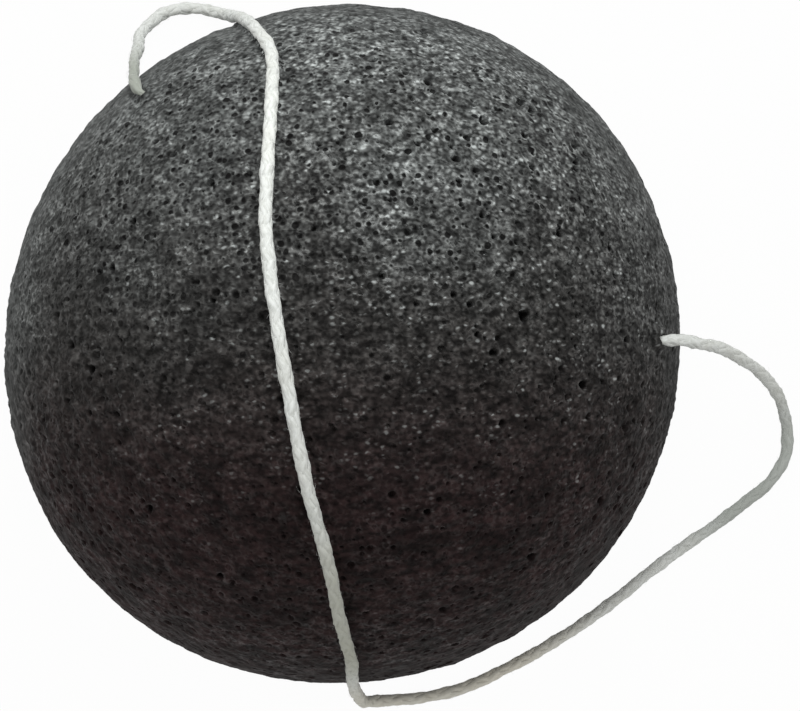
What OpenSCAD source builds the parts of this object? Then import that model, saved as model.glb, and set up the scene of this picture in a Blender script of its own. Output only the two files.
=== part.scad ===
// Konjac sponge: a half ball of charcoal foam with a closed loop of cotton string threaded through it.
// The origin is the centre of the flat side, Z runs up the dome's axis, and all sizes are millimetres.

/* [Sponge] */
// Diameter of the dome at its widest
base_d = 80; // [72:1:88]
// Height of the dome above its flat side
dome_h = 38; // [35:0.5:41]
// Radius of the round rim between the flat side and the dome
rim_r = 5; // [3:0.5:7]
// How far the centre of each open cell lies under the skin, as a share of the cell's diameter
cell_sink_share = 0.15; // [0:0.05:0.3]

/* [String channel] */
// Height of the channel's axis above the flat side
channel_h = 17.5; // [14:0.5:21]
// Distance between the channel's axis and the dome's axis
channel_offset = 16; // [10:0.5:20]
// Direction, in degrees, in which the channel lies off the dome's axis
channel_turn = 64.5; // [55:0.5:75]
// Diameter of the dimple that the string has drawn in at each mouth
mouth_d = 4; // [3:0.5:6]
// Depth of that dimple
mouth_depth = 1; // [0.6:0.1:1.5]

/* [String] */
// Diameter of the cotton string
string_d = 1.4; // [1:0.1:1.8]
// Gap all round the string in its channel and round the knot in its pocket
channel_gap = 0.3; // [0.2:0.05:0.5]
// Gap between the string and what it lies on
lay_gap = 0.1; // [0.05:0.05:0.3]

/* [Hidden] */
$fn = 96;
cell_fn = 24;
// The channel's cut runs this far past the foam at both mouths
overrun = 2;
sponge_colour = "#3b3b3c";
string_colour = "#e8e8e0";

// The dome is one arc that runs smoothly into the round rim
foot_r = base_d / 2 - rim_r;
rise = dome_h - 2 * rim_r;
dome_drop = (foot_r * foot_r - rise * rise) / (2 * rise);
dome_z = rim_r - dome_drop;
dome_r = dome_h - dome_z;
dome_centre = [0, 0, dome_z];

// The wide open cells of the dome: place across the dome and diameter, as shares of its outer radius
cell_shares = [
    [0.485, 0.080, 0.036], [0.650, -0.100, 0.031], [0.585, 0.295, 0.027], [0.405, -0.015, 0.025],
    [0.245, 0.705, 0.026], [0.390, 0.595, 0.030], [0.315, 0.485, 0.026], [0.305, 0.520, 0.021],
    [0.260, 0.560, 0.019], [0.215, 0.520, 0.021], [0.365, 0.455, 0.021], [0.495, 0.660, 0.024],
    [0.525, 0.640, 0.024], [0.500, 0.560, 0.019], [0.145, 0.370, 0.018], [0.375, 0.755, 0.022],
    [0.380, 0.335, 0.020], [0.185, 0.730, 0.021], [0.645, 0.550, 0.025], [0.645, 0.500, 0.022],
    [0.365, 0.030, 0.020], [0.345, 0.105, 0.018], [0.775, 0.020, 0.019], [0.410, 0.280, 0.018],
    [-0.520, 0.325, 0.024], [-0.570, 0.205, 0.021], [-0.295, 0.115, 0.018], [-0.630, -0.060, 0.029],
    [-0.690, 0.005, 0.024], [-0.740, 0.085, 0.021], [0.125, 0.175, 0.020], [0.210, 0.105, 0.018],
    [0.305, 0.130, 0.020], [-0.045, 0.295, 0.018], [-0.480, -0.420, 0.025], [-0.300, -0.600, 0.022],
    [0.240, -0.420, 0.022], [0.520, -0.560, 0.026], [0.080, -0.700, 0.020], [-0.780, -0.350, 0.022]
];

// The string's own sizes, and how far from the dome's centre it lies when it rests on the foam
string_r = string_d / 2;
channel_d = string_d + 2 * channel_gap;
lie_r = dome_r + string_r + lay_gap;
lie_z = string_r + lay_gap;
sides = 8;
loop_step = 3 * string_d;
knot_step = 0.6 * string_d;

// The channel runs from mouth to mouth, and the inner string ends a dimple's depth inside each mouth
mouth_run = sqrt(dome_r * dome_r - pow(channel_h - dome_z, 2) - channel_offset * channel_offset);
seat_run = mouth_run - mouth_depth;
dimple_r = (mouth_d * mouth_d / 4 + mouth_depth * mouth_depth) / (2 * mouth_depth);

// The free loop lies along these points, from the mouth at the side round to the far mouth.
// A height of 0 is the surface that the sponge stands on, and points in the foam are pushed out to its skin.
loop_route = [
    [39, 0, 17.5], [42, -0.5, 15.5], [48, -2.5, 9.5], [50.5, -4.5, 6.5], [52.5, -7, 3], [53.5, -10, 1],
    [53.5, -12.5, 0], [52, -15.5, 0], [48, -19, 0], [39, -25.5, 0], [30, -32.5, 0], [21, -38, 0],
    [13, -41.5, 0], [6, -42.5, 0], [4, -42.5, 1.5], [2.5, -42, 4], [2, -40.5, 8.5], [1.5, -38, 14],
    [1.5, -34, 21], [0.5, -28.5, 27.5], [-0.5, -22, 32.5], [-2.5, -13.5, 36.5], [-4, -5, 38], [-5.5, 4, 38],
    [-6.5, 12, 36.5], [-6.5, 19.5, 33.5], [-6.5, 26, 29], [-7, 31.5, 23.5], [-9, 35, 18], [-11, 37.5, 11.5],
    [-12.5, 39, 6], [-14.5, 40, 2.5], [-17.5, 41, 0], [-21.5, 40.5, 0], [-24, 38, 2.5], [-24.5, 35, 7],
    [-24, 31.5, 13], [-23, 29, 16.5]
];

// The reef knot is two like ropes that hook through each other. Each point is given along the channel,
// across it and up, in string diameters, from the lead to the cut tail. The second rope is the first one
// turned half round.
knot_shares = [
    [-4.0, 0.0, 0.0], [-3.5, 0.0, 0.0], [-2.75, 0.3, -0.3], [-2.0, 0.6, -0.6], [-0.95, 0.6, 0.0],
    [0.0, 1.2, 0.6], [0.95, 1.8, 0.0], [1.75, 1.35, -0.45], [2.15, 0.0, -0.65], [1.75, -1.35, -0.45],
    [0.95, -1.8, 0.0], [0.0, -1.2, 0.6], [-0.95, -0.6, 0.0], [-2.0, -0.6, -0.6], [-2.9, -0.95, -0.35]
];
knot_reach_share = 2.4;
pocket_reach_share = 5;
knot_run = -knot_shares[0].x * string_d;
pocket_r = knot_reach_share * string_d + channel_gap;
pocket_half = pocket_reach_share * string_d;
pocket_arc_r = (pocket_half * pocket_half + pocket_r * pocket_r) / (2 * pocket_r);

function unit(v) = v / norm(v);

function turned(p, a) = [p.x * cos(a) - p.y * sin(a), p.x * sin(a) + p.y * cos(a), p.z];

// A point given along the channel, across it and up, from the channel's middle
function in_channel(along, across, up) =
    turned([channel_offset + across, along, channel_h + up], channel_turn);

// A point is lifted off the surface that the sponge stands on, or pushed out of the foam first
function lifted(p) = [p.x, p.y, max(p.z, lie_z)];
function laid(p) =
    let (v = p - dome_centre)
    lifted(norm(v) < lie_r ? dome_centre + lie_r * unit(v) : p);

// One stretch of the smooth line between two points, with its direction at each end
function stretch(a, b, dir_a, dir_b, t) =
    let (reach = norm(b - a), u = 1 - t)
    u * u * (1 + 2 * t) * a + t * t * (3 - 2 * t) * b + reach * t * u * (u * dir_a - t * dir_b);

// The direction from one point to the next, which weighs more the nearer they are
function toward(a, b) = a == b ? [0, 0, 0] : unit(b - a) / norm(b - a);

function directions(points) =
    let (last = len(points) - 1)
    [for (i = [0:last])
        unit(toward(points[max(i - 1, 0)], points[i]) + toward(points[i], points[min(i + 1, last)]))];

// The smooth line through the points, with a ring about every step
function line_through(points, step) =
    let (dirs = directions(points), last = len(points) - 1)
    concat(
        [for (i = [0:last - 1])
            let (count = ceil(norm(points[i + 1] - points[i]) / step))
            for (j = [0:count - 1])
                stretch(points[i], points[i + 1], dirs[i], dirs[i + 1], j / count)],
        [points[last]]
    );

// A ring's first direction is carried along the line without twisting
function carried(normal, dir) = unit(normal - (normal * dir) * dir);

function ring_normals(dirs) = [
    for (i = 0, n = carried([0, 0, 1], dirs[0]); i < len(dirs); i = i + 1,
         n = i < len(dirs) ? carried(n, dirs[i]) : n) n
];

// A round tube with closed ends along a line of ring centres
module tube(centres) {
    dirs = directions(centres);
    normals = ring_normals(dirs);
    last = len(centres) - 1;
    points = [
        for (i = [0:last], s = [0:sides - 1])
            let (a = 360 * s / sides)
            centres[i] + string_r * (cos(a) * normals[i] + sin(a) * cross(dirs[i], normals[i]))
    ];
    walls = [
        for (i = [0:last - 1], s = [0:sides - 1])
            let (a = i * sides + s, b = i * sides + (s + 1) % sides)
            each [[a, a + sides, b], [b, a + sides, b + sides]]
    ];
    start = [for (s = [0:sides - 1]) s];
    end = [for (s = [0:sides - 1]) last * sides + sides - 1 - s];
    polyhedron(points = points, faces = concat([start], walls, [end]), convexity = 10);
}

// The loop starts and ends square to the channel, where it meets the inner run face to face
lead_run = seat_run + string_r;
loop_points = concat(
    [in_channel(-seat_run, 0, 0), in_channel(-lead_run, 0, 0)],
    [for (p = loop_route) laid(p)],
    [in_channel(lead_run, 0, 0), in_channel(seat_run, 0, 0)]
);

// Half of the dome's outline: the flat side, the round rim and the arc of the dome
module dome_outline() {
    rim_centre = [foot_r, rim_r];
    out = rim_centre + dome_r * unit([foot_r, dome_drop]);
    top = dome_z + 2 * dome_r;
    intersection() {
        translate([0, dome_z]) circle(r = dome_r);
        polygon([[0, rim_r], rim_centre, out, [out.x, top], [0, top]]);
    }
    translate(rim_centre) circle(r = rim_r);
    square([foot_r, 2 * rim_r]);
}

// A point on the way from the dome's centre to a place on its skin, this far under the skin
function under_skin(x, y, depth) =
    let (skin = [x, y, sqrt(dome_r * dome_r - x * x - y * y)])
    dome_centre + (dome_r - depth) * unit(skin);

module open_cells() {
    for (cell = cell_shares) {
        d = cell.z * base_d / 2;
        translate(under_skin(cell.x * base_d / 2, cell.y * base_d / 2, cell_sink_share * d))
            sphere(d = d, $fn = cell_fn);
    }
}

// Turns what is drawn up the Z axis so that it lies along the channel
module along_channel() {
    rotate([0, 0, channel_turn])
        translate([channel_offset, 0, channel_h])
            rotate([-90, 0, 0])
                children();
}

// The shallow dimple round a mouth of the channel
module dimple(mouth) {
    out = unit(mouth - dome_centre);
    translate(mouth + (dimple_r - mouth_depth) * out)
        sphere(r = dimple_r);
}

// The spindle-shaped hollow that the knot has stretched in the foam
module knot_pocket() {
    rotate_extrude()
        intersection() {
            translate([pocket_r - pocket_arc_r, 0]) circle(r = pocket_arc_r);
            translate([0, -pocket_half]) square([pocket_r, 2 * pocket_half]);
        }
}

module sponge() {
    color(sponge_colour)
        difference() {
            rotate_extrude() dome_outline();
            along_channel() {
                cylinder(d = channel_d, h = 2 * (mouth_run + overrun), center = true);
                knot_pocket();
            }
            dimple(in_channel(-mouth_run, 0, 0));
            dimple(in_channel(mouth_run, 0, 0));
            open_cells();
        }
}

// The free part of the string, from mouth to mouth outside the foam
module string_loop() {
    color(string_colour)
        tube([for (p = line_through(loop_points, loop_step)) lifted(p)]);
}

// The two straight runs between the knot and the mouths
module string_inner_run() {
    color(string_colour)
        along_channel()
            for (side = [-1, 1])
                scale([1, 1, side])
                    translate([0, 0, knot_run])
                        cylinder(d = string_d, h = seat_run - knot_run);
}

module string_knot() {
    color(string_colour)
        for (side = [-1, 1]) {
            rope = [
                for (p = knot_shares * string_d)
                    in_channel(side * p.x, p.y, side * p.z)
            ];
            tube(line_through(rope, knot_step));
        }
}

sponge();
string_loop();
string_inner_run();
string_knot();
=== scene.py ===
# %% [markdown]
# # A konjac sponge on its string
# The object is a half ball of soft charcoal foam. A cotton string runs through it and hangs out in one
# closed loop, which here lies over the dome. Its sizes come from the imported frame, in metres: Z is up, and
# the origin is the centre of the flat side. Every piece below is made in that frame, so nothing has to be
# moved into place later.

# %% The frame
import math

import bpy
import numpy as np
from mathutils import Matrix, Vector


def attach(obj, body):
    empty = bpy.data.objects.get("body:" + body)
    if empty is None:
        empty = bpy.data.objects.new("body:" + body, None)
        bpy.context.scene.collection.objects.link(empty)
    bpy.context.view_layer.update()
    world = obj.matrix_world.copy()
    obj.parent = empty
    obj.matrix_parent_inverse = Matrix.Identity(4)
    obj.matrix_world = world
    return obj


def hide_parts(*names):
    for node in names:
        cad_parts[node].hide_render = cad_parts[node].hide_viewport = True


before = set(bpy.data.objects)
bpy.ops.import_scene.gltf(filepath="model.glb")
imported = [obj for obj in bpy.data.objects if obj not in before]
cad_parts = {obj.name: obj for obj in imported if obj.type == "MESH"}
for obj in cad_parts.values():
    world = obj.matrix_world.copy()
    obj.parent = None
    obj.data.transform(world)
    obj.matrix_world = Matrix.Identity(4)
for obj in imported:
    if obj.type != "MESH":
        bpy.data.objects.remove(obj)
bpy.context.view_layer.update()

mm = 0.001
random = np.random.default_rng(7)

# %% [markdown]
# ## The camera
# The photograph was taken straight from above, a little to the right of the sponge's middle. A camera with
# no turn looks down its own Z axis, so it only needs its place. Its lens follows from the focal length in
# pixels, because a lens in millimetres is that length on a sensor as wide as the picture.

# %% The camera
camera_place = (6.8 * mm, -0.9 * mm, 200 * mm)
focal_pixels = 1649
picture_width = 800

camera_data = bpy.data.cameras.new("camera")
camera_data.lens = camera_data.sensor_width * focal_pixels / picture_width
camera_data.clip_start = 10 * mm
camera = bpy.data.objects.new("camera", camera_data)
camera.location = camera_place
bpy.context.scene.collection.objects.link(camera)
bpy.context.scene.camera = camera
print("lens", round(camera_data.lens, 1), "mm")

# %% [markdown]
# ## The sizes that the pieces share
# The dome is one arc that runs smoothly into a round rim. Three sizes fix both arcs. The channel of the
# string crosses the foam off the dome's axis. Both pieces need these values, so they come first.

# %% Shared sizes
base_r = 40 * mm
dome_h = 38 * mm
rim_r = 5 * mm
string_d = 1.4 * mm
lay_gap = 0.1 * mm
channel_h = 17.5 * mm
channel_offset = 16 * mm
channel_turn = math.radians(64.5)
mouth_depth = 1 * mm

foot_r = base_r - rim_r
rise = dome_h - 2 * rim_r
dome_drop = (foot_r**2 - rise**2) / (2 * rise)
dome_z = rim_r - dome_drop
dome_r = dome_h - dome_z
dome_centre = np.array([0, 0, dome_z])
string_r = string_d / 2
lie_r = dome_r + string_r + lay_gap
lie_z = string_r + lay_gap
mouth_run = math.sqrt(dome_r**2 - (channel_h - dome_z) ** 2 - channel_offset**2)
seat_run = mouth_run - mouth_depth
channel_dir = np.array([-math.sin(channel_turn), math.cos(channel_turn), 0])
channel_side = np.array([math.cos(channel_turn), math.sin(channel_turn), 0])
channel_mid = channel_offset * channel_side + [0, 0, channel_h]
mouths = channel_mid + np.outer([-mouth_run, mouth_run], channel_dir)
print("dome radius", round(dome_r / mm, 2), "mm, mouths at", (mouths / mm).round(1).tolist())

# %% [markdown]
# ## The line of the string
# A limp string has no shape of its own: it falls from the mouth at the side, lies on what the sponge stands
# on, climbs over the dome and falls again to the far mouth. Its line could be simulated, but the photograph
# shows it end to end, so it is a list of given places and a smooth line through them. Places in the foam
# are pushed out until the string rests on the skin.

# %% The line of the string
loop_route = mm * np.array([
    [39, 0, 17.5], [42, -0.5, 15.5], [48, -2.5, 9.5], [50.5, -4.5, 6.5], [52.5, -7, 3], [53.5, -10, 1],
    [53.5, -12.5, 0], [52, -15.5, 0], [48, -19, 0], [39, -25.5, 0], [30, -32.5, 0], [21, -38, 0],
    [13, -41.5, 0], [6, -42.5, 0], [4, -42.5, 1.5], [2.5, -42, 4], [2, -40.5, 8.5], [1.5, -38, 14],
    [1.5, -34, 21], [0.5, -28.5, 27.5], [-0.5, -22, 32.5], [-2.5, -13.5, 36.5], [-4, -5, 38], [-5.5, 4, 38],
    [-6.5, 12, 36.5], [-6.5, 19.5, 33.5], [-6.5, 26, 29], [-7, 31.5, 23.5], [-9, 35, 18], [-11, 37.5, 11.5],
    [-12.5, 39, 6], [-14.5, 40, 2.5], [-17.5, 41, 0], [-21.5, 40.5, 0], [-24, 38, 2.5], [-24.5, 35, 7],
    [-24, 31.5, 13], [-23, 29, 16.5],
])


def unit(vectors):
    """Each vector divided by its own length."""
    return vectors / np.linalg.norm(vectors, axis=-1, keepdims=True)


def step_down(x, low, high):
    """One below low, zero above high, and a smooth cubic between."""
    t = ((high - x) / (high - low)).clip(0, 1)
    return t * t * (3 - 2 * t)


def laid(points):
    """Points nearer to the dome's centre than lie_r go out along their ray; none stays below lie_z."""
    away = points - dome_centre
    far = np.linalg.norm(away, axis=1, keepdims=True)
    out = np.where(far < lie_r, dome_centre + away * lie_r / far, points)
    out[:, 2] = np.maximum(out[:, 2], lie_z)
    return out


def directions(points):
    """At each point, the chord before it plus the chord after it, each divided by its length squared."""
    chords = np.diff(points, axis=0)
    pulls = chords / (chords**2).sum(axis=1, keepdims=True)
    return unit(np.vstack([pulls[:1], pulls[1:] + pulls[:-1], pulls[-1:]]))


def line_through(points, step):
    """The smooth line: on each stretch a to b, u2(1+2t)a + t2(3-2t)b + length*t*u*(u*dir_a - t*dir_b)."""
    dirs = directions(points)
    stretches = []
    for a, b, dir_a, dir_b in zip(points[:-1], points[1:], dirs[:-1], dirs[1:]):
        length = np.linalg.norm(b - a)
        t = np.linspace(0, 1, math.ceil(length / step), endpoint=False)[:, None]
        u = 1 - t
        bend = length * t * u * (u * dir_a - t * dir_b)
        stretches.append(u**2 * (1 + 2 * t) * a + t**2 * (3 - 2 * t) * b + bend)
    return np.vstack(stretches + [points[-1:]])


def channel_point(along):
    """A point of the channel's axis, this far from its middle."""
    return channel_mid + along * channel_dir


lead_run = seat_run + string_r
loop_points = np.vstack([
    channel_point(-seat_run), channel_point(-lead_run), laid(loop_route),
    channel_point(lead_run), channel_point(seat_run),
])
string_line = line_through(loop_points, 0.4 * mm)
string_line[:, 2] = np.maximum(string_line[:, 2], lie_z)
print("line in", len(string_line), "steps")

# %% [markdown]
# ## The string beside its mouths
# Near its two mouths the photograph shows the string a little beside that line: further up the picture at the
# side, and further in at the back. Moving the places by hand would bend the rest as well, so the line is
# shifted by less than a millimetre instead, with a smooth start and end, and stays in both mouths.

# %% The string beside its mouths
side_ease = 0.62 * mm
back_ease = 0.65 * mm


def run_along(points):
    """The summed length of the steps before each point."""
    return np.r_[0, np.linalg.norm(np.diff(points, axis=0), axis=1).cumsum()]


def hump(run, start, full, falling, end):
    """Zero before start and after end, one from full to falling, and smooth cubics between."""
    return step_down(run, falling, end) * (1 - step_down(run, start, full))


from_side = run_along(string_line)
from_back = from_side[-1] - from_side
string_line[:, 1] += side_ease * hump(from_side, 0.5 * mm, 4 * mm, 8 * mm, 16 * mm)
string_line[:, 0] += back_ease * hump(from_back, 1 * mm, 4 * mm, 14 * mm, 21 * mm)
string_run = run_along(string_line)
loop_length = string_run[-1]
print("loop", round(loop_length / mm, 1), "mm")

# %% [markdown]
# ## Frames along the string
# The yarns of a braid wind round the string's line, so every step of the line needs two directions across
# it. They are carried from step to step without twisting, because a frame that is set from one fixed
# direction would flip over where the string turns upright.

# %% Frames along the string
def frames_along(line):
    """At each step a normal, made by taking from the last one its part along the tangent, and the direction
    across both."""
    tangents = directions(line)
    normals = np.empty_like(line)
    normal = np.array([0.0, 0.0, 1.0])
    for i, tangent in enumerate(tangents):
        normal = unit(normal - (normal @ tangent) * tangent)
        normals[i] = normal
    return normals, np.cross(tangents, normals)


string_normals, string_sides = frames_along(string_line)


def beside_string(run, angle, distance):
    """The place at a run along the string, this far from its line in the direction cos(angle) * normal +
    sin(angle) * side, and that direction."""
    at, up, side = (
        np.stack([np.interp(run, string_run, values[:, k]) for k in range(3)], -1)
        for values in (string_line, string_normals, string_sides))
    out = np.cos(angle)[..., None] * up + np.sin(angle)[..., None] * side
    return at + distance[..., None] * out, out


print("frames:", len(string_normals))

# %% [markdown]
# ## From arrays to a mesh
# Every new piece is a set of grids. One helper joins grids of quads into one mesh and gives each corner a
# place on a flat map, with the first map axis along the piece and the second round it.

# %% Mesh helpers
def grid_faces(rows, columns, closed):
    """Quads of a grid of rows by columns, whose last column meets the first if it is closed."""
    i, j = np.meshgrid(np.arange(rows - 1), np.arange(columns if closed else columns - 1), indexing="ij")
    here = i * columns
    next_row = here + columns
    after = (j + 1) % columns
    return np.stack([here + j, here + after, next_row + after, next_row + j], -1)


def make_mesh(name, vertices, quads, maps=None, closing=np.empty((0, 3), int), map_name="along_and_round"):
    """A mesh of the vertices, the quads and the closing faces, one to a row of closing; maps holds the place
    of each quad's corners on the flat map."""
    mesh = bpy.data.meshes.new(name)
    quads = quads.reshape(-1, 4)
    corners = np.r_[quads.ravel(), closing.ravel()]
    sizes = np.repeat([4, closing.shape[1]], [len(quads), len(closing)])
    mesh.vertices.add(len(vertices))
    mesh.vertices.foreach_set("co", np.asarray(vertices, np.float32).ravel())
    mesh.loops.add(len(corners))
    mesh.loops.foreach_set("vertex_index", corners.astype(np.int32))
    mesh.polygons.add(len(sizes))
    mesh.polygons.foreach_set("loop_start", (sizes.cumsum() - sizes).astype(np.int32))
    if maps is not None:
        layer = mesh.uv_layers.new(name=map_name)
        places = np.zeros((len(corners), 2), np.float32)
        places[: quads.size] = maps.reshape(-1, 2)
        layer.uv.foreach_set("vector", places.ravel())
    mesh.update(calc_edges=True)
    mesh.validate()
    mesh.shade_smooth()
    piece = bpy.data.objects.new(name, mesh)
    bpy.context.scene.collection.objects.link(piece)
    print(name, len(mesh.vertices), "vertices", len(mesh.polygons), "faces")
    return piece


# %% [markdown]
# ## How full the string is
# A soft string is never quite even: it swells and thins as it goes, and the foam squeezes it where it goes
# in. A tube of one width would look like plastic. So the width is a share that changes with the run.

# %% How full the string is
mean_fullness = 0.98
mouth_squeeze = 0.40
end_thinning = 0.12


def fullness(run):
    """Share of the string's width: two slow waves, a thinner last stretch, and a squeeze to six tenths
    over the first millimetres in each mouth."""
    waves = 0.045 * np.sin(2 * np.pi * run / (4.3 * mm) + 1.3 * np.sin(run / (5 * mm)))
    waves = waves + 0.035 * np.sin(2 * np.pi * run / (10.1 * mm) + 1)
    thin = end_thinning * step_down(loop_length - run, 9 * mm, 16 * mm)
    from_mouth = np.minimum(run, loop_length - run)
    return (mean_fullness + waves - thin) * (1 - mouth_squeeze * step_down(from_mouth, 0.8 * mm, 2.6 * mm))


shares = fullness(string_run)
print("fullness from", round(float(shares.min()), 2), "to", round(float(shares.max()), 2))

# %% [markdown]
# ## One yarn
# The string is a soft round braid: four flat yarns wind one way and four the other, and each passes over
# one and under the next. All crossings of a round lie at the same run, an eighth of a turn apart, so a
# cosine of the run lifts the yarns of one hand while it lowers those of the other.

# %% One yarn
braid_pitch = 11 * mm
yarn_steps = 620
yarn_sides = 8
yarn_width = 0.92 * mm
yarn_height = 0.44 * mm
yarn_lift = 0.055 * mm
sway = 0.035 * mm
ground_gap = 0.02 * mm
yarn_ring = string_r + 0.06 * mm - yarn_height / 2 - yarn_lift


def yarn(hand, number):
    """Centre: angle = hand * turn + quarter * number, distance = ring + hand * lift * cos(4 turns). Across
    it lies an ellipse whose long axis is round the string."""
    run = np.linspace(0, loop_length, yarn_steps)[:, None]
    turn = 2 * np.pi * run / braid_pitch + 0.35 * np.sin(run / (9 * mm)) + 0.2 * np.sin(run / (3.7 * mm))
    centre = hand * turn + np.pi / 2 * number
    round_it = np.linspace(0, 2 * np.pi, yarn_sides, endpoint=False)[None, :]
    swell = 1 + 0.07 * np.sin(run / (2.3 * mm) + 1.7 * number + hand)
    ring = yarn_ring + hand * yarn_lift * np.cos(4 * turn)
    distance = fullness(run) * (ring + swell * yarn_height / 2 * np.cos(round_it))
    angle = centre + hand * swell * yarn_width / 2 * np.sin(round_it) / yarn_ring
    distance = distance + sway * np.sin(run / (0.83 * mm)) * np.cos(angle - run / (3.1 * mm))
    places, _ = beside_string(run + 0 * round_it, angle, distance)
    places[..., 2] = np.maximum(places[..., 2], ground_gap)
    return places[:, ::hand]


yarns = [yarn(hand, number) for hand in (1, -1) for number in range(4)]
print(len(yarns), "yarns of", yarns[0].shape[:2], "points")

# %% [markdown]
# ## The braid
# The eight yarns become one mesh. A picture of a braid on a tube would be cheaper, but its outline would be
# straight, and here the edge shows the bumps. A face closes each end of each yarn.

# %% The braid
def make_braid():
    """Each yarn's grid of quads, closed round it. On the flat map a yarn fills one row: the run in
    millimetres along it, and its number plus the share of the way round across it."""
    count = yarn_steps * yarn_sides
    quads = grid_faces(yarn_steps, yarn_sides, True).reshape(-1, 4)
    along = np.linspace(0, loop_length / mm, yarn_steps)
    corner = np.stack(np.meshgrid(along, np.arange(yarn_sides + 1) / yarn_sides, indexing="ij"), -1)
    corners = [corner[:-1, :-1], corner[:-1, 1:], corner[1:, 1:], corner[1:, :-1]]
    maps = np.stack(corners, -2).reshape(-1, 4, 2)
    around = np.arange(yarn_sides)
    ends = np.stack([around[::-1], around + count - yarn_sides])
    numbers = range(len(yarns))
    all_quads = np.concatenate([quads + k * count for k in numbers])
    all_maps = np.concatenate([maps + [0, k] for k in numbers])
    all_ends = np.concatenate([ends + k * count for k in numbers])
    return make_mesh("cotton_string", np.concatenate(yarns).reshape(-1, 3), all_quads, all_maps, all_ends)


cotton_string = make_braid()

# %% [markdown]
# ## The fuzz of the cotton
# Cotton is spun from short hairs, and their ends stand off the string and soften its outline. A hair
# system would not be kept with the model, so each hair is a thin three-sided tapered tube along a bent
# line. There are many, so each has only a few faces.

# %% The fuzz of the cotton
hair_count = 3400
hair_r = 0.012 * mm
hair_taper = 0.75
hair_root = string_r - 0.12 * mm
hair_steps = 5
hair_sides = 3


def make_fuzz():
    """A hair leaves the string at a run and an angle, leans along it and curls: run and distance grow with
    u, and the angle with u squared."""
    u = np.linspace(0, 1, hair_steps)[None, :]
    run = random.uniform(0.01, 0.99, (hair_count, 1)) * loop_length
    angle = random.uniform(0, 2 * np.pi, (hair_count, 1))
    length = random.gamma(4, 0.12, (hair_count, 1)) * mm
    lean = random.uniform(-1, 1, (hair_count, 1))
    stand = random.uniform(0.1, 0.6, (hair_count, 1))
    curl = random.normal(0, 0.5, (hair_count, 1))
    distance = hair_root + stand * length * u * (1.4 - 0.6 * u)
    line, out = beside_string(run + lean * length * u, angle + curl * u**2, distance)
    ahead = unit(np.gradient(line, axis=1))
    side = unit(np.cross(ahead, out + 0.01))
    lift = np.cross(ahead, side)
    round_it = np.arange(hair_sides) * 2 * np.pi / hair_sides
    thin = hair_r * (1 - hair_taper * u)[..., None, None]
    ring = np.cos(round_it)[:, None] * side[:, :, None] + np.sin(round_it)[:, None] * lift[:, :, None]
    places = line[:, :, None] + thin * ring
    places[..., 2] = np.maximum(places[..., 2], ground_gap)
    first = np.arange(hair_count)[:, None, None] * hair_steps * hair_sides
    around = np.arange(hair_sides)
    ends = np.stack([around[::-1], around + (hair_steps - 1) * hair_sides])
    quads = grid_faces(hair_steps, hair_sides, True).reshape(1, -1, 4)
    ends = (ends + first).reshape(-1, hair_sides)
    return make_mesh("string_fuzz", places.reshape(-1, 3), quads + first, closing=ends)


string_fuzz = make_fuzz()

# %% [markdown]
# ## Riding the string
# The string is a free cord: it leaves the foam at one mouth and goes back in at the other. Both of its
# pieces ride on the root. The plain tube of the frame is hidden, and the straight run and the knot inside
# the foam stay as they are.

# %% Riding the string
for piece in (cotton_string, string_fuzz):
    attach(piece, "root")
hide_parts("string_loop")
print("cord:", round(loop_length / mm, 1), "mm long and", round(string_d / mm, 2), "mm thick")

# %% [markdown]
# ## The outline of the foam
# The skin of the sponge could be a sphere that is cut and bevelled, but then its faces would be long and
# thin near the rim, and the pores need even ones. So the skin starts as a cube whose six grids are blown
# up to a sphere. Each point's angle from the top gives the share of the skin above it, and the outline of
# the dome, the rim and the flat side is walked until the same share is passed.

# %% The outline of the foam
rim_angle = math.atan2(foot_r, dome_drop)
dome_run = dome_r * rim_angle
rim_run = rim_r * (math.pi - rim_angle)
whole_run = dome_run + rim_run + foot_r


def outline(run):
    """Radius and height, and the outward direction, after a run from the top: the dome's arc, the rim's
    arc, then the flat side."""
    angle = np.where(run < dome_run, run / dome_r, rim_angle + (run - dome_run) / rim_r)
    angle = np.minimum(angle, math.pi)
    on_dome = run < dome_run
    radius = np.where(on_dome, dome_r * np.sin(angle), foot_r + rim_r * np.sin(angle))
    height = np.where(on_dome, dome_z + dome_r * np.cos(angle), rim_r + rim_r * np.cos(angle))
    on_flat = run > dome_run + rim_run
    radius = np.where(on_flat, whole_run - run, radius)
    return radius, height, np.sin(angle), np.cos(angle)


def run_for_share(share):
    """The run at which this share of the whole skin lies above, from a table of rings. Near the two poles
    the square root of the share is the even measure."""
    runs = np.linspace(0, whole_run, 20001)
    radius = outline(runs)[0]
    rings = np.r_[0, np.cumsum((radius[1:] + radius[:-1]) / 2 * np.diff(runs))]
    above = rings / rings[-1]
    from_top = np.interp(np.sqrt(share), np.sqrt(above), runs)
    from_bottom = np.interp(-np.sqrt(1 - share), -np.sqrt(1 - above), runs)
    return np.where(share < 0.5, from_top, from_bottom)


print("outline", round(whole_run / mm, 1), "mm from the top to the middle of the flat side")

# %% [markdown]
# ## The six grids of the skin
# Each side of the cube is a grid in two angles. The points on the cube's edges come twice or three times,
# so they are merged, because an open seam would show as a dark line.

# %% The grids of the skin
skin_cells = 300


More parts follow.
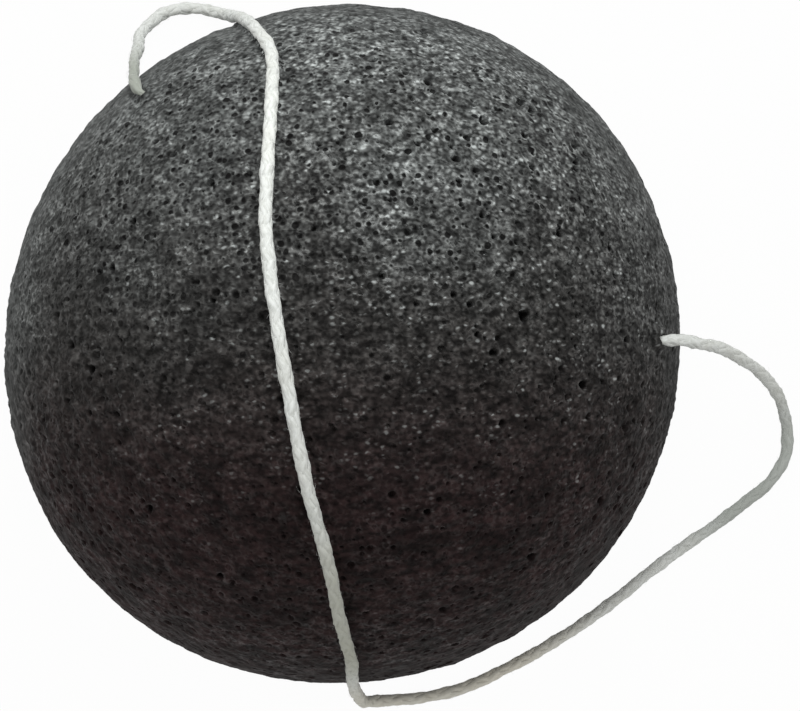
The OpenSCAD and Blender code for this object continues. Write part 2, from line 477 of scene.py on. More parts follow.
def skin_grid():
    """Directions (tan a, tan b, 1) for even angles a and b on the six sides of a cube, with the quads that
    join them and the place of each quad's corners in a map of two by three squares."""
    angle = np.linspace(-np.pi / 4, np.pi / 4, skin_cells + 1)
    a, b = np.meshgrid(np.tan(angle), np.tan(angle), indexing="ij")
    x, y, z = np.eye(3)
    sides = [(y, z, x), (z, x, y), (x, y, z), (z, y, -x), (x, z, -y), (y, x, -z)]
    points = unit(np.stack([a[..., None] * e + b[..., None] * f + g for e, f, g in sides]))
    points = points.reshape(-1, 3)
    each = (skin_cells + 1) ** 2
    one = grid_faces(skin_cells + 1, skin_cells + 1, False).reshape(-1, 4)[:, ::-1]
    quads = np.concatenate([one + k * each for k in range(6)])
    inside = np.linspace(0.01, 0.99, skin_cells + 1)
    s, t = np.meshgrid(inside, inside, indexing="ij")
    flat = np.concatenate([
        np.stack([(s.ravel() + k % 3) / 3, (t.ravel() + k // 3) / 2], -1) for k in range(6)])
    keys = np.round(points * 1e6).astype(np.int64) @ [1, 4_000_037, 16_000_000_000_333]
    _, first, where = np.unique(keys, return_index=True, return_inverse=True)
    return points[first], where.ravel()[quads], flat[quads]


skin_dirs, skin_quads, skin_maps = skin_grid()
print("skin:", len(skin_dirs), "points", len(skin_quads), "quads")

# %% [markdown]
# ## The body of the sponge
# A sponge that is moulded and dried by hand isn't a true circle: seen from above, this one is a little
# longer from lower left to upper right. A few waves round the axis give that, and they fade out towards
# the top. Slow lumps come from a sum of plane waves in space, which has no seams anywhere.

# %% The body of the sponge
oval_waves = [(1, 0.0100, 80), (2, 0.0107, 104), (3, 0.0021, -110), (4, 0.0030, -174)]
lump_height = 0.045 * mm
wrinkle_height = 0.060 * mm
furrow_height = 0.075 * mm
flat_level = -0.99


def plane_waves(points, count, shortest, longest, spread=(1, 1, 1)):
    """Sum of count sines, each of a random direction, phase and wave length, scaled to about one. A small
    spread on an axis turns the waves away from it."""
    total = np.zeros(len(points), np.float32)
    for _ in range(count):
        way = unit(random.normal(size=3) * spread)
        length = random.uniform(shortest, longest)
        total += np.sin(2 * np.pi / length * (points @ way) + random.uniform(0, 2 * np.pi)).astype(np.float32)
    return total / math.sqrt(count / 2)


share_above = (1 - skin_dirs[:, 2]) / 2
radius, height, slant, level = outline(run_for_share(share_above.clip(0, 1)))
azimuth = np.arctan2(skin_dirs[:, 1], skin_dirs[:, 0])
skin = np.stack([radius * np.cos(azimuth), radius * np.sin(azimuth), height], -1)
skin_out = np.stack([slant * np.cos(azimuth), slant * np.sin(azimuth), level], -1)

stretch = 1 + (radius / base_r) ** 2 * sum(
    share * np.cos(count * azimuth - math.radians(phase)) for count, share, phase in oval_waves)
skin[:, :2] *= stretch[:, None]
body = skin.copy()
calm = 0.35 + 0.65 * level.clip(0, 1) ** 0.7
furrow_band = np.exp(-((skin[:, 1] + 2 * mm) / (16 * mm)) ** 2)
furrows = furrow_band * plane_waves(skin, 40, 0.9 * mm, 2.2 * mm, (0.3, 1, 0.4))
wrinkles = plane_waves(skin, 60, 1.1 * mm, 3.4 * mm)
unevenness = lump_height * plane_waves(skin, 40, 3 * mm, 9 * mm)
unevenness += calm * (wrinkle_height * wrinkles + furrow_height * furrows)
skin += (unevenness * np.where(level > flat_level, 1, 0.3))[:, None] * skin_out
print("body", (skin.min(0) / mm).round(2).tolist(), (skin.max(0) / mm).round(2).tolist())

# %% [markdown]
# ## Where the foam yields
# Foam gives way: it closes up under the string that lies on the dome, with a shallow groove along both
# sides. Without that, light would shine through between the two where the skin dips. Round each mouth the
# string has pulled the skin out into a small collar, with the hole in its middle.

# %% Where the foam yields
groove_depth = 0.15 * mm
groove_reach = 1.4 * mm
bed_r = string_r - 0.02 * mm
bed_width = (0.85 * mm, 1.25 * mm)
bed_rise = 0.30 * mm
collar_heights = (0.62 * mm, 0.40 * mm)
collar_ring = 0.8 * mm
collar_width = 0.55 * mm
hole_depth = 0.6 * mm


def distance_to_string(points):
    """Each point's distance to the nearest step of the string's line, over the steps near the foam."""
    nearest = np.full(len(points), 1.0, np.float32)
    places = points.astype(np.float32)
    for step in string_line[::2]:
        near = np.flatnonzero(np.abs(places[:, 1] - step[1]) < 3 * mm)
        gap = np.linalg.norm(places[near] - step.astype(np.float32), axis=1)
        nearest[near] = np.minimum(nearest[near], gap)
    return nearest


string_gap = distance_to_string(skin)
beneath = step_down(string_gap, *bed_width)
bedding = beneath * (string_gap - bed_r).clip(0, bed_rise)
groove = groove_depth * (1 - beneath) * np.exp(-((string_gap / groove_reach) ** 2))
keep_off = (string_r - 0.05 * mm - string_gap).clip(0)
collar = np.zeros(len(skin))
for mouth, collar_height in zip(mouths, collar_heights):
    away = skin - mouth
    near = step_down(np.linalg.norm(away, axis=1), 2.5 * mm, 4.5 * mm)
    off_axis = np.linalg.norm(away - (away @ channel_dir)[:, None] * channel_dir, axis=1)
    hole = step_down(off_axis, 0.2 * mm, 0.5 * mm)
    ring = np.exp(-(((off_axis - collar_ring) / collar_width) ** 2))
    collar += near * (collar_height * ring * (1 - hole) - hole_depth * hole)
    keep_off *= 1 - near
    groove *= 1 - near
    bedding *= 1 - near
skin += (collar + bedding - groove - keep_off)[:, None] * skin_out
print("foam nearest to the string's line:", round(float(string_gap.min()) / mm, 2), "mm")

# %% [markdown]
# ## The open cells
# Konjac foam is an open-cell foam: its skin is full of round openings of every size, from the widest ones
# that can be counted down to a fine grain. Each cell is a ball in space that the skin cuts through. One
# ball sits at a random place in each cube of a space grid, and a point of the skin asks the 27 cubes
# around it which ball covers it most. The places are hashed from the cube's numbers, so all points agree.

# %% The open cells
def hashed(cube, seed):
    """Four even random numbers from each cube's three whole numbers, by multiplying and mixing bits."""
    value = cube[:, 0] * 73856093 ^ cube[:, 1] * 19349663 ^ cube[:, 2] * 83492791 ^ seed * 2654435761
    numbers = []
    for k in range(4):
        value = (value ^ (value >> 15)) * 2246822519 & 0xFFFFFFFF
        value = (value ^ (value >> 13)) * 3266489917 & 0xFFFFFFFF
        numbers.append(value / 4294967296.0)
    return numbers


def cell_cover(points, cube_size, kept, smallest, largest, seed):
    """For each point the least distance over radius of the balls round it: below one inside a ball. The
    radius grows from smallest to largest with the square of a random number."""
    least = np.full(len(points), 2.0)
    reach = np.zeros(len(points))
    home = np.floor(points / cube_size).astype(np.int64)
    for offset in np.ndindex(3, 3, 3):
        cube = home + np.array(offset) - 1
        u, v, w, size = hashed(cube + 4096, seed)
        ball = (cube + np.stack([u, v, w], -1)) * cube_size
        ball_r = smallest + (largest - smallest) * (size / kept) ** 2
        ratio = np.where(size < kept, np.linalg.norm(points - ball, axis=1) / ball_r, 2.0)
        closer = ratio < least
        least = np.where(closer, ratio, least)
        reach = np.where(closer, ball_r, reach)
    return least, reach


def pit(cover, reach, wall):
    """Depth of the pits: each ball's radius times a step that rises over the wall's share of the radius."""
    return reach * step_down(cover, 1 - wall, 1)


trial = hashed(np.argwhere(np.ones((9, 9, 9))), 0)
print("hashed numbers average", [round(float(numbers.mean()), 2) for numbers in trial])

# %% [markdown]
# ## Three sizes of cells
# The balls come in three layers, from half a millimetre down to a tenth. Each layer has its cube size, the
# share of its cubes that hold a ball, its smallest and largest radius, how deep a pit goes for its radius,
# how much of the radius its wall takes up, and how dark its painted shade is. Towards the bottom fewer open
# cells show, so their painted shade fades there.

# %% Three sizes of cells
layers = [
    (1.7 * mm, 0.92, 0.20 * mm, 0.50 * mm, 1.2, 0.45, 1.00),
    (1.0 * mm, 0.74, 0.15 * mm, 0.32 * mm, 1.1, 0.50, 0.90),
    (0.6 * mm, 0.70, 0.11 * mm, 0.21 * mm, 1.0, 0.60, 0.60),
]
# cell_shade is painted shade inside the cells, weaker towards the bottom.
open_share = 1 - 0.6 * step_down(body[:, 1] + 0.15 * body[:, 0], -8 * mm, 18 * mm)
cell_depth = np.zeros(len(body))
cell_shade = np.zeros(len(body))
lip = np.zeros(len(body))
for seed, (cube_size, kept, smallest, largest, deep, wall, dark) in enumerate(layers):
    cover, cover_r = cell_cover(body, cube_size, kept, smallest, largest, seed)
    cell_depth = np.maximum(cell_depth, deep * pit(cover, cover_r, wall))
    cell_shade = np.maximum(cell_shade, open_share * dark * step_down(cover, 0.55, 1.05))
    lip = np.maximum(lip, dark * np.exp(-(((cover - 1.22) / 0.18) ** 2)))
print("points inside a cell:", round(float((cell_depth > 0).mean()), 2))

# %% [markdown]
# ## The widest cells
# The widest openings of the dome are seen one by one in the photograph, so their places and widths are
# listed, as shares of the dome's outer radius. Each is a deeper pit with a slightly raised lip.

# %% The widest cells
cell_shares = [
    (0.485, 0.080, 0.036), (0.650, -0.100, 0.031), (0.585, 0.295, 0.027), (0.405, -0.015, 0.025),
    (0.245, 0.705, 0.026), (0.390, 0.595, 0.030), (0.315, 0.485, 0.026), (0.305, 0.520, 0.021),
    (0.260, 0.560, 0.019), (0.215, 0.520, 0.021), (0.365, 0.455, 0.021), (0.495, 0.660, 0.024),
    (0.525, 0.640, 0.024), (0.500, 0.560, 0.019), (0.145, 0.370, 0.018), (0.375, 0.755, 0.022),
    (0.380, 0.335, 0.020), (0.185, 0.730, 0.021), (0.645, 0.550, 0.025), (0.645, 0.500, 0.022),
    (0.365, 0.030, 0.020), (0.345, 0.105, 0.018), (0.775, 0.020, 0.019), (0.410, 0.280, 0.018),
    (-0.520, 0.325, 0.024), (-0.570, 0.205, 0.021), (-0.295, 0.115, 0.018), (-0.630, -0.060, 0.029),
    (-0.690, 0.005, 0.024), (-0.740, 0.085, 0.021), (0.125, 0.175, 0.020), (0.210, 0.105, 0.018),
    (0.305, 0.130, 0.020), (-0.045, 0.295, 0.018), (-0.480, -0.420, 0.025), (-0.300, -0.600, 0.022),
    (0.240, -0.420, 0.022), (0.520, -0.560, 0.026), (0.080, -0.700, 0.020), (-0.780, -0.350, 0.022),
]

lip_height = 0.04 * mm
wide_depth = np.zeros(len(body))
wide_lip = np.zeros(len(body))
# Each wide cell is also painted dark inside: painted shade.
for across, up, width in cell_shares:
    cell_r = 0.9 * width * base_r / 2
    right_of = body[:, 0] - across * base_r
    above_it = body[:, 1] - up * base_r
    away = np.where(level > 0.2, np.hypot(right_of, above_it) / cell_r, 9)
    ragged = away * (1 + 0.12 * np.sin(3 * np.arctan2(above_it, right_of) + 40 * up))
    wide_depth = np.maximum(wide_depth, 1.8 * cell_r * step_down(ragged, 0.55, 1.1))
    cell_shade = np.maximum(cell_shade, step_down(ragged, 0.6, 1.1))
    wide_lip = np.maximum(wide_lip, np.exp(-(((away - 1.3) / 0.22) ** 2)))
cell_depth = np.maximum(cell_depth * (1 - 0.6 * wide_lip), wide_depth)
lip = np.maximum(lip, wide_lip) * (1 - cell_shade)
quiet = 1 - step_down(string_gap, 0.8 * mm, 1.6 * mm) * 0.9
slack = np.where(level < 0, 0.7, 0.45 + 0.55 * level.clip(0, 1) ** 0.7)
skin -= (cell_depth * quiet * slack)[:, None] * skin_out
skin += (lip_height * lip * quiet)[:, None] * skin_out
skin[:, 2] = np.maximum(skin[:, 2], 0)
print("deepest cell", round(float(cell_depth.max()) / mm, 2), "mm")

# %% [markdown]
# ## The foam piece
# The material needs to know which points lie in a cell, because little light comes back out of one, so it is
# painted dark there as painted shade, and which lie on a cell's lip, where the dried wall is thin and pale,
# partly a painted highlight. Both go into the mesh as attributes.

# %% The foam piece
foam_sponge = make_mesh("foam_sponge", skin, skin_quads, skin_maps, map_name="OFBake")
for attribute_name, values in (("cell_shade", cell_shade), ("cell_lip", lip)):
    attribute = foam_sponge.data.attributes.new(attribute_name, "FLOAT", "POINT")
    attribute.data.foreach_set("value", values.clip(0, 1).astype(np.float32))
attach(foam_sponge, "root")
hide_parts("sponge")

# %% [markdown]
# ## Maths in a material
# A shader's sums are easier to read as sums. This small class wraps one socket, so that Python's signs add
# the Math nodes. Any other node comes from its one method, which sets the node's own settings before it
# fills its sockets.

# %% Maths in a material
class Socket:
    """An output socket of a node tree, on which + - * add Math nodes."""

    def __init__(self, tree, socket=None):
        self.tree = tree
        self.socket = socket

    def node(self, kind, settings=None, values=None, output=0):
        """Adds a node of this type, sets its settings, then the values or links of its sockets."""
        node = self.tree.nodes.new(kind)
        for name, value in (settings or {}).items():
            setattr(node, name, value)
        for name, value in (values or {}).items():
            if isinstance(value, Socket):
                self.tree.links.new(value.socket, node.inputs[name])
            else:
                node.inputs[name].default_value = value
        return Socket(self.tree, node.outputs[output])

    def math(self, operation, first, second):
        """Adds a Math node for two sockets or numbers."""
        return self.node("ShaderNodeMath", {"operation": operation}, {0: first, 1: second})

    def __add__(self, other):
        return self.math("ADD", self, other)

    def __sub__(self, other):
        return self.math("SUBTRACT", self, other)

    def __rsub__(self, other):
        return self.math("SUBTRACT", other, self)

    def __mul__(self, other):
        return self.math("MULTIPLY", self, other)

    def above(self, other):
        """The larger of the two at each place."""
        return self.math("MAXIMUM", self, other)

    def step(self, low, high):
        """Zero below low, one above high and smooth between, or the other way round if low is above high."""
        return self.node(
            "ShaderNodeMapRange", {"interpolation_type": "SMOOTHSTEP"},
            {"Value": self, "From Min": low, "From Max": high, "To Min": 0.0, "To Max": 1.0})

    def mix(self, first, second):
        """Mixes two colours, with this socket as the share of the second."""
        first = first if isinstance(first, Socket) else (*first, 1)
        second = second if isinstance(second, Socket) else (*second, 1)
        return self.node("ShaderNodeMix", {"data_type": "RGBA"}, {0: self, 6: first, 7: second}, output=2)

    __radd__ = __add__
    __rmul__ = __mul__


print("the signs + - * on a Socket add Math nodes")

# %% [markdown]
# ## Starting and ending a material
# A new material comes with nodes of its own, which are cleared, so that it holds only what is written
# here. The world's node tree starts and ends in the same way.

# %% Starting and ending a material
def emptied(owner):
    """Clears the nodes of a material or the world, and returns a Socket that adds new ones."""
    owner.use_nodes = True
    owner.node_tree.nodes.clear()
    return Socket(owner.node_tree)


def new_material(name):
    """A material without nodes, and the Socket that adds nodes to it."""
    material = bpy.data.materials.new(name)
    return material, emptied(material)


def finish_nodes(owner, surface, kind="ShaderNodeOutputMaterial"):
    """Links the surface to the output node of a material or the world."""
    output = owner.node_tree.nodes.new(kind)
    owner.node_tree.links.new(surface.socket, output.inputs["Surface"])
    print(owner.name, "has", len(owner.node_tree.nodes), "nodes")
    return owner


# %% [markdown]
# ## Patterns in space
# Both finishes are made of patterns that fill space, so they have no seams. Noise is smooth, and suits
# patches and fibres. Scattered points suit what comes in pieces, such as cells and grains. With a scale of
# 2 / mm, a pattern comes again about twice in each millimetre.

# %% Patterns in space
def noise(place, scale, detail, roughness=0.5, output=0):
    """Smooth noise about one half; its output 1 is a colour that holds three noises."""
    values = {"Vector": place, "Scale": scale, "Detail": detail, "Roughness": roughness}
    return place.node("ShaderNodeTexNoise", None, values, output)


def scattered(place, scale):
    """The distance to the nearest of many scattered points, and a random number of that point's own."""
    distance = place.node("ShaderNodeTexVoronoi", {"feature": "F1"}, {"Vector": place, "Scale": scale})
    return distance, Socket(distance.tree, distance.socket.node.outputs[1])


def drawn_out(place, *scale):
    """The place with each axis times its scale: below one, a pattern grows longer along that axis."""
    return place.node("ShaderNodeMapping", None, {"Vector": place, "Scale": scale})


# %% [markdown]
# ## The tones of charcoal foam
# Konjac foam that holds charcoal is dull and nearly black. Towards the bottom it is painted darker and a
# little warmer, as painted shade. Towards the top it is a cool grey, partly dried skin and partly painted
# light of the lamp. The thin walls between cells are paler than the skin, partly a painted highlight, and the
# flecks are painted glints, paler still.

# %% The tones of charcoal foam
# The darkest tone is painted shade inside the cells.
pore_shade_tone = (0.0022, 0.0019, 0.0019)
# Tones towards the bottom: painted shade, darker and warmer.
low_shade_tone = (0.0205, 0.0113, 0.0114)
low_shade_wall = (0.036, 0.025, 0.024)
dark_tone = (0.0300, 0.0276, 0.0266)
dark_wall = (0.050, 0.047, 0.045)
# Tones towards the top: partly dried skin, partly painted light of the lamp.
dry_lit_tone = (0.150, 0.156, 0.155)
dry_lit_wall = (0.365, 0.386, 0.382)
# The tone of the painted glints.
painted_glint_tone = (0.60, 0.63, 0.63)
# The dry tone is partly painted light of the lamp.
print("the dried skin is", round(dry_lit_tone[1] / dark_tone[1], 1), "times as pale as the dark skin")

# %% [markdown]
# ## Where the foam's patterns lie
# The patterns read Object coordinates, which stay with the piece wherever it goes. They are drawn out a
# little downwards, so that they aren't cut short where the skin is steep. Some are also drawn out sideways,
# as the creases of the real skin are. A drift of half a millimetre makes the round cells less regular.

# %% Where the foam's patterns lie
charcoal_foam, foam = new_material("charcoal_foam")
real_place = foam.node("ShaderNodeTexCoord", output=3)
parts = foam.node("ShaderNodeSeparateXYZ", None, {0: real_place})
x, y, z = (Socket(foam.tree, part) for part in parts.socket.node.outputs)
broad_place = drawn_out(real_place, 1.0, 1.0, 0.55)
broad_level = drawn_out(broad_place, 0.55, 1.0, 1.0)
place = drawn_out(real_place, 1.0, 1.0, 0.75)
level_place = drawn_out(place, 0.55, 1.0, 1.0)
drift = noise(place, 0.8 / mm, 1.0, output=1)
drifting = {0: drift, 1: (0.5 * mm,) * 3, 2: place}
warped = foam.node("ShaderNodeVectorMath", {"operation": "MULTIPLY_ADD"}, drifting)
wide_place = drawn_out(warped, 0.75, 1.0, 1.0)
print("places:", len(foam.tree.nodes), "nodes")

# %% [markdown]
# ## The foam's patterns
# Three sets of scattered points give the small cells, the finest cells and the granules of the dried skin.
# Noises give the grain, the creases, the clusters in which glints come, and the broad mottling. A crinkle
# is the narrow band in which a noise is near one half, which winds about like a thin ridge.

# %% The foam's patterns
cells, chance = scattered(warped, 1.15 / mm)
fine, _ = scattered(warped, 2.2 / mm)
dot, luck = scattered(wide_place, 1.95 / mm)
grain = noise(place, 1.25 / mm, 1.0)
crease = noise(level_place, 1.3 / mm, 1.0)
crinkle = noise(level_place, 0.9 / mm, 1.0)
speck = noise(level_place, 2.3 / mm, 0.0)
cluster = noise(broad_level, 0.48 / mm, 1.0)
mottle = noise(broad_place, 0.27 / mm, 2.0)
ridge = crinkle.step(0.43, 0.50) * crinkle.step(0.57, 0.50) * grain.step(0.44, 0.60)
print("patterns:", len(foam.tree.nodes), "nodes")

# %% [markdown]
# ## Where the foam is dry and painted lit
# The foam is painted paler towards the top right, partly dried skin and partly painted light of the lamp,
# and darker towards the bottom, as painted shade. A slope in millimetres tells how pale a place is: it grows
# along +Y, wanders with a broad noise, and rises right of the string, where a painted highlight of the lamp
# lies, and on the left. The steep flanks and the left rim are painted paler, a painted sheen, and the flanks
# are plainer, as the pores there are seen edge on.

# %% Where the foam is dry and painted lit
beside_x = x - 10 * mm
beside_y = y - 14 * mm
# A painted highlight of the lamp's shine, right of the string near the top.
painted_lamp_shine = (beside_x * beside_x + beside_y * beside_y).step(150 * mm**2, 0.0)
lit_dry_slope = y + x * 0.15 + (noise(broad_place, 0.11 / mm, 3.0) - 0.5) * (18 * mm)
lit_dry_slope = lit_dry_slope + painted_lamp_shine * (10 * mm) + x.step(-2 * mm, -18 * mm) * (8 * mm)
clear = lit_dry_slope.step(-22 * mm, 20 * mm)
flank = z.step(22 * mm, 10 * mm)
# The steep flanks and the left rim are painted paler: painted sheen and light.
dry_and_lit = lit_dry_slope + z.step(24 * mm, 4 * mm) * (14 * mm) + x.step(-28 * mm, -40 * mm) * (18 * mm)
dry_and_lit = dry_and_lit.step(-4 * mm, 52 * mm)
# Painted shade: darker and warmer towards the bottom.
painted_low_shade = y.step(4 * mm, -18 * mm)
# More granules and painted glints to the right.
rightward = 0.3 + x.step(-32 * mm, 6 * mm) * 0.7
print("dryness:", len(foam.tree.nodes), "nodes")

# %% [markdown]
# ## Pores and walls
# Little light comes back out of a cell, so its inside is painted nearly black: painted shade. The mesh tells
# where its own cells and their lips are. The patterns add the pores that are finer than the mesh, with a
# pale wall round each, partly a painted highlight of its lit edge.

# %% Pores and walls
in_cell = foam.node("ShaderNodeAttribute", {"attribute_name": "cell_shade"}, output=2)
on_lip = foam.node("ShaderNodeAttribute", {"attribute_name": "cell_lip"}, output=2)
sized = cells + chance * 0.80
pore = sized.step(0.60, 0.46) * (0.30 + lit_dry_slope.step(-8 * mm, 18 * mm) * 0.65)
fine_pore = fine.step(0.40, 0.26) * (0.10 + clear * 0.4)
# The share of painted shade in the cells and pores.
pore_shade = in_cell.above(pore).above(fine_pore) * (1 - flank * 0.65)
# A pale ring round each pore, partly a painted highlight of its lit edge.
rim = sized.step(0.54, 0.62) * sized.step(0.82, 0.66)
wall = (on_lip * 0.8).above(rim * 0.55).above(fine.step(0.50, 0.70) * 0.5)
wall = wall * grain.step(0.36, 0.58) * (0.45 + clear * 0.55) * (1 - flank * 0.5)
print("pores:", len(foam.tree.nodes), "nodes")

# %% [markdown]
# ## Grain, granules and patches
# Between the cells the skin is never even. Creases and grain share it out, granules stand out most where
# the skin is lit and to the right, partly as painted glints, thin ridges cross it, and two broad patterns
# make whole patches paler or darker. All of it is one number, by which the tone is multiplied.

# %% Grain, granules and patches
grainy = (crease * (0.8 - clear * 0.3) + grain * (0.2 + clear * 0.3)).step(0.36, 0.64)
granule = dot.step(0.72, 0.15) * (0.15 + luck * 0.85) * (1 - flank * 0.6) * (0.2 + rightward * 0.8)
uneven = 0.30 + grainy * (0.70 - flank * 0.42) + granule * (0.6 + clear * 2.1)
uneven = uneven + ridge * clear * 0.6 * (1 - flank * 0.7) + (1 - rightward) * 0.3
patches = mottle.step(0.30, 0.70) * (0.66 - clear * 0.58) + cluster.step(0.36, 0.64) * (0.42 - clear * 0.06)
uneven = uneven * (0.53 + patches)
print("grain:", len(foam.tree.nodes), "nodes")

# %% [markdown]
# ## The colour of the foam
# The tone goes from the painted shade at the bottom to the dry skin and painted light at the top, the walls
# take the paler tones, and the unevenness scales both. The painted glints come on top, a few to a cluster
# and most of them where the skin is lit. The painted shade of the cells comes last.

# %% The colour of the foam
tone = dry_and_lit.mix(painted_low_shade.mix(dark_tone, low_shade_tone), dry_lit_tone)
tone = wall.mix(tone, dry_and_lit.mix(painted_low_shade.mix(dark_wall, low_shade_wall), dry_lit_wall))
tone = foam.node("ShaderNodeVectorMath", {"operation": "SCALE"}, {0: tone, "Scale": uneven})
# Painted glints: small pale flecks, most where the lamp's light falls and to the right.
painted_glint = dot.step(0.50, 0.18) * speck.step(0.48, 0.64) * luck.step(0.30, 0.95)
painted_glint = painted_glint * (0.2 + cluster.step(0.40, 0.58) * 0.8)
painted_glint = painted_glint * (0.06 + clear * 0.86 + lit_dry_slope.step(22 * mm, 42 * mm) * 0.40)
painted_glint = painted_glint * rightward * (1 - flank * 0.8)
colour = pore_shade.mix(painted_glint.mix(tone, painted_glint_tone), pore_shade_tone)
print("colour:", len(foam.tree.nodes), "nodes")

# %% [markdown]
# ## The relief and shine of the foam
# The same patterns drive the bump, so that each pore is dented where it is dark. The foam is rough and
# hardly reflects, but a wall that lies just right glints, so a thin coat lies on the walls alone.

# %% The relief and shine of the foam
relief = sized.step(0.36, 0.66) * 0.7 + fine.step(0.25, 0.55) * 0.25 + grain * 0.5 + ridge * clear * 0.4
relief = relief + crease * (0.25 + clear * 0.5) + granule * clear * 0.35
relief = relief * (0.4 + clear * 0.6) * (1 - flank * 0.7)
bump = foam.node("ShaderNodeBump", None, {"Height": relief, "Strength": 1.0, "Distance": 0.24 * mm})
shine = wall * (1 - pore_shade)
glint = shine * (0.2 + cluster.step(0.42, 0.60) * 0.5)
foam_surface = foam.node("ShaderNodeBsdfPrincipled", None, {
    "Base Color": colour, "Roughness": 0.85 - shine * 0.30, "Normal": bump, "Specular IOR Level": 0.06,
    "Coat Weight": glint, "Coat Roughness": 0.22, "Coat IOR": 1.5,
    "Sheen Weight": 0.06, "Sheen Roughness": 0.5,
})
foam_sponge.data.materials.append(finish_nodes(charcoal_foam, foam_surface))

# %% [markdown]
# ## Cotton
# Undyed cotton is a warm white that is never quite even. Its fibres run along each yarn, so the streaks
# and the bump follow the yarn's own map, where the first axis is the run in millimetres and the second
# counts once round each yarn. Three stretches that get less light are painted grey, warm and grey-yellow:
# painted shade. The last stretch before the back mouth is painted darker, also painted shade.

# %% Cotton
# Painted shade along the string: where each stretch grows and ends, its least and cloudy share, and its tone.
shaded_stretches = [
    (55, 80, 98, 112, 0.28, 0.42, (0.80, 0.72, 0.58)),
    (20, 34, 43, 52, 0.50, 0.60, (0.44, 0.46, 0.43)),
    (106, 117, 124, 144, 0.55, 0.50, (0.46, 0.46, 0.385)),
]


def make_cotton_material(name, mapped):
    """Streaks along the yarns, and on a mapped piece the stretches of painted shade: each grows from its
    first run to its second, ends from its third to its fourth, and takes a least share and a cloudy one of
    its tone.
    The last stretch before the back mouth is painted darker, also painted shade."""
    material, tree = new_material(name)
    object_place = tree.node("ShaderNodeTexCoord", output=3)
    yarn_place = tree.node("ShaderNodeTexCoord", output=2) if mapped else object_place
    fibre_scale = (0.9, 9.0, 1.0) if mapped else (0.9 / mm,) * 3
    fibres = noise(drawn_out(yarn_place, *fibre_scale), 1.0, 4.0, 0.6)
    cloud = noise(object_place, 0.16 / mm, 2.0)
    colour = fibres.step(0.32, 0.60).mix((0.64, 0.65, 0.62), (0.86, 0.87, 0.855))
    colour = (cloud.step(0.4, 0.65) * 0.25).mix(colour, (0.74, 0.73, 0.67))
    if mapped:
        run = tree.node("ShaderNodeSeparateXYZ", None, {0: yarn_place})
        for start, full, falling, end, least, cloudy, tone in shaded_stretches:
            share = run.step(start, full) * run.step(end, falling) * (least + cloud * cloudy)
            colour = share.mix(colour, tone)
        # Painted shade: the last 18 mm before the back mouth are darker.
        to_back = loop_length / mm - run
        colour = (to_back.step(18, 5) * 0.85).mix(colour, (0.34, 0.36, 0.31))
    bump = tree.node("ShaderNodeBump", None, {"Height": fibres, "Strength": 0.8, "Distance": 0.05 * mm})
    surface = tree.node("ShaderNodeBsdfPrincipled", None, {
        "Base Color": colour, "Roughness": 0.8 + fibres * 0.15, "Normal": bump, "Specular IOR Level": 0.2,
        "Sheen Weight": 0.25, "Sheen Roughness": 0.5,
    })
    return finish_nodes(material, surface)


braided_cotton = make_cotton_material("braided_cotton", True)
plain_cotton = make_cotton_material("plain_cotton", False)
cotton_string.data.materials.append(braided_cotton)
string_fuzz.data.materials.append(plain_cotton)
for node_name in ("string_inner_run", "string_knot"):
    hidden_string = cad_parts[node_name]
    hidden_string.data.materials.clear()
    hidden_string.data.materials.append(plain_cotton)

# %% [markdown]
# ## The floor
# The picture has a plain white ground. A white floor that is lit until it looks white would light the
# object too. So the floor is pale and diffuse, and the rays of the camera, of gloss and of glass also see
# it shine a little: it looks white, and still keeps the shadow of the object.

# %% The floor
floor_side = 3000 * mm
floor_drop = 0.05 * mm
seen_white = 0.97


def seen_rays(tree):
    """One for camera rays, glossy rays and transmission rays, and zero for the rest."""
    seen = tree.node("ShaderNodeLightPath", output=0)
    for ray in (3, 6):
        seen = seen.above(tree.node("ShaderNodeLightPath", output=ray))
    return seen


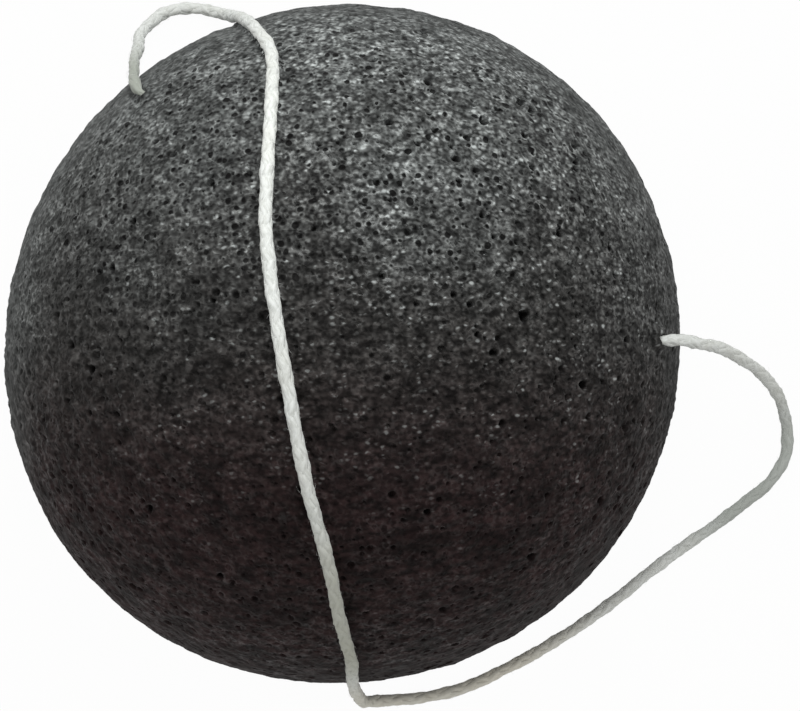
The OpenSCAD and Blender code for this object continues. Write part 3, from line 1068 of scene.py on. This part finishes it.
def make_floor():
    """A square of four corners, a hair's breadth below the foam, whose face points up."""
    corners = floor_side * (np.array([[0, 0, 0], [0, 1, 0], [1, 1, 0], [1, 0, 0]]) - [0.5, 0.5, 0])
    square = make_mesh("floor", corners - [0, 0, floor_drop], np.array([[0, 3, 2, 1]]))
    material, tree = new_material("pale_floor")
    paper = tree.node("ShaderNodeBsdfDiffuse", None, {"Color": (0.80, 0.80, 0.79, 1)})
    white = tree.node("ShaderNodeEmission", None, {"Color": (1, 1, 1, 1), "Strength": 1.0})
    surface = tree.node("ShaderNodeMixShader", None, {0: seen_rays(tree) * seen_white, 1: paper, 2: white})
    square.data.materials.append(finish_nodes(material, surface))
    return square


floor = make_floor()

# %% [markdown]
# ## The light
# The light in the photograph comes from one soft source low behind the top of the picture, as from a
# window, and from all round. So there is one disk lamp and a plain dim sky. The sky too looks white to the
# rays that see it, so that no glint on the object is darker than the ground.

# %% The light
lamp_place = np.array([4, 76, 108]) * mm
lamp_aim = np.array([0, 5, 20]) * mm
sky_strength = 0.55
sky_tint = (0.99, 1.0, 0.98)


def make_sky():
    """The camera and the mirrored rays meet a pale backdrop; all other rays meet the dim sky."""
    world = bpy.data.worlds.new("pale_sky")
    bpy.context.scene.world = world
    tree = emptied(world)
    dim = tuple(sky_strength * share for share in sky_tint)
    colour = seen_rays(tree).mix(dim, (seen_white,) * 3)
    sky = tree.node("ShaderNodeBackground", None, {"Color": colour, "Strength": 1.0})
    finish_nodes(world, sky, "ShaderNodeOutputWorld")


def soft_lamp(name, size, power, colour):
    """A round lamp at its place, turned so that its own -Z points at its aim."""
    data = bpy.data.lights.new(name, "AREA")
    data.shape = "DISK"
    data.size = size
    data.energy = power
    data.color = colour
    lamp = bpy.data.objects.new(name, data)
    bpy.context.scene.collection.objects.link(lamp)
    lamp.location = lamp_place
    lamp.visible_camera = False
    lamp.rotation_euler = Vector(lamp_aim - lamp_place).to_track_quat("-Z", "Y").to_euler()
    print("lamp", name, power, "W")


make_sky()
soft_lamp("window_lamp", 64 * mm, 0.070, (0.97, 1.0, 0.99))

# %% [markdown]
# ## The view transform
# Colours are shown through the Standard view transform.

# %% The view transform
bpy.context.scene.view_settings.view_transform = "Standard"
